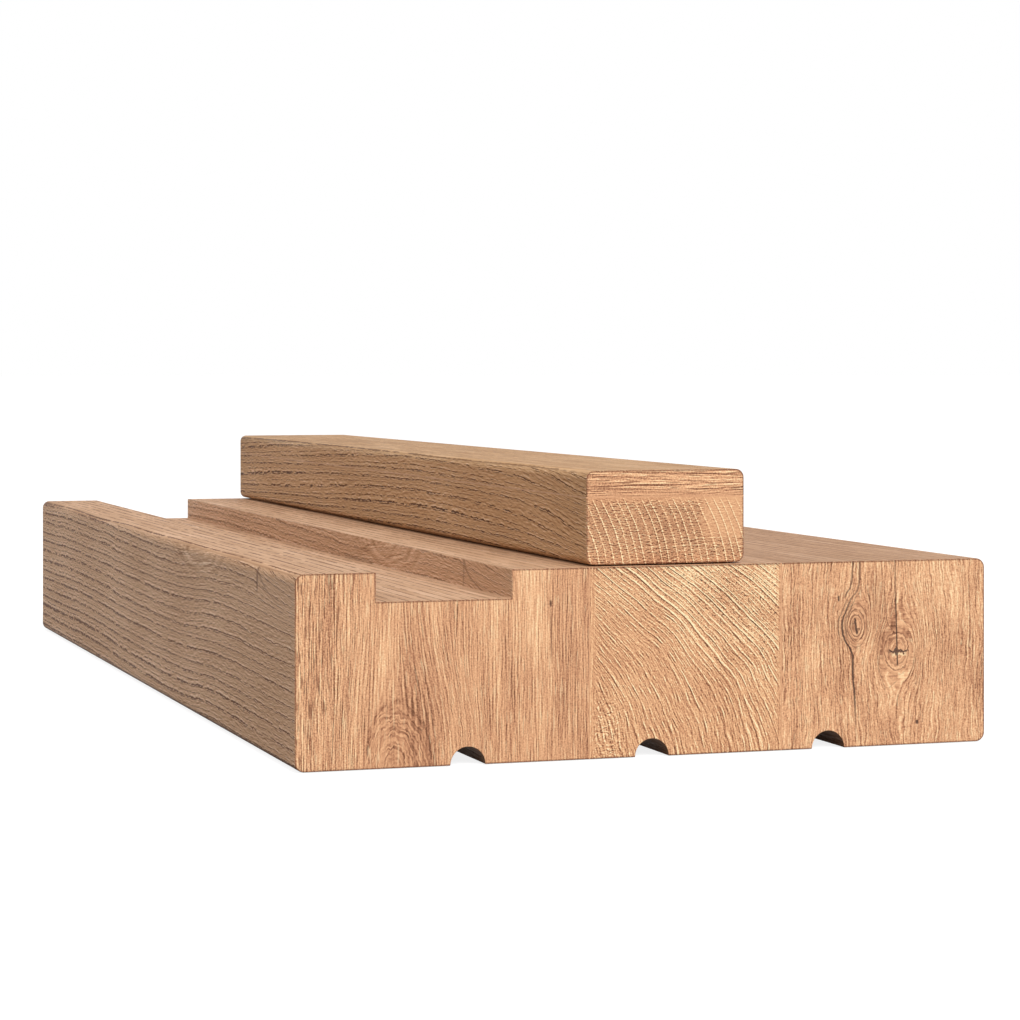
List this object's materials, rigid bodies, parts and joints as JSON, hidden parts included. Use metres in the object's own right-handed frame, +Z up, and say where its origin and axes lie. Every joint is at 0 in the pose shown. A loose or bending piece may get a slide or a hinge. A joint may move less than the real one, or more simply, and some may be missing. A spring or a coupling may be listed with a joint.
{
  "type": "threshold strip",
  "caption": "Laminated oak door threshold strip with a rain groove along the weather side, a raised stop batten and half-round relief grooves along its underside.",
  "frame": {"origin": "middle of the underside, on the surface that the strip lies on", "axes": "+X towards the room side, +Y along the strip, +Z up"},
  "size_m": [0.155, 0.328, 0.0601],
  "materials": {
    "weather_oak": "planed, oiled",
    "core_oak": "planed, oiled",
    "room_oak": "planed, oiled",
    "batten_oak": "planed, oiled",
    "cap_oak": "planed, oiled",
    "glue": "set wood glue",
    "screw_steel": "zinc plated",
    "dowel_beech": "fluted, bare"
  },
  "bodies": {
    "root": {"weather_lamella": "weather_oak", "core_lamella": "core_oak", "room_lamella": "room_oak", "weather_glue_line": "glue", "room_glue_line": "glue", "batten_body": "batten_oak", "batten_cap": "cap_oak", "batten_glue_line": "glue", "batten_screw_1": "screw_steel", "batten_screw_2": "screw_steel", "batten_screw_3": "screw_steel", "batten_dowel_1": "dowel_beech", "batten_dowel_2": "dowel_beech"}
  },
  "joints": []
}
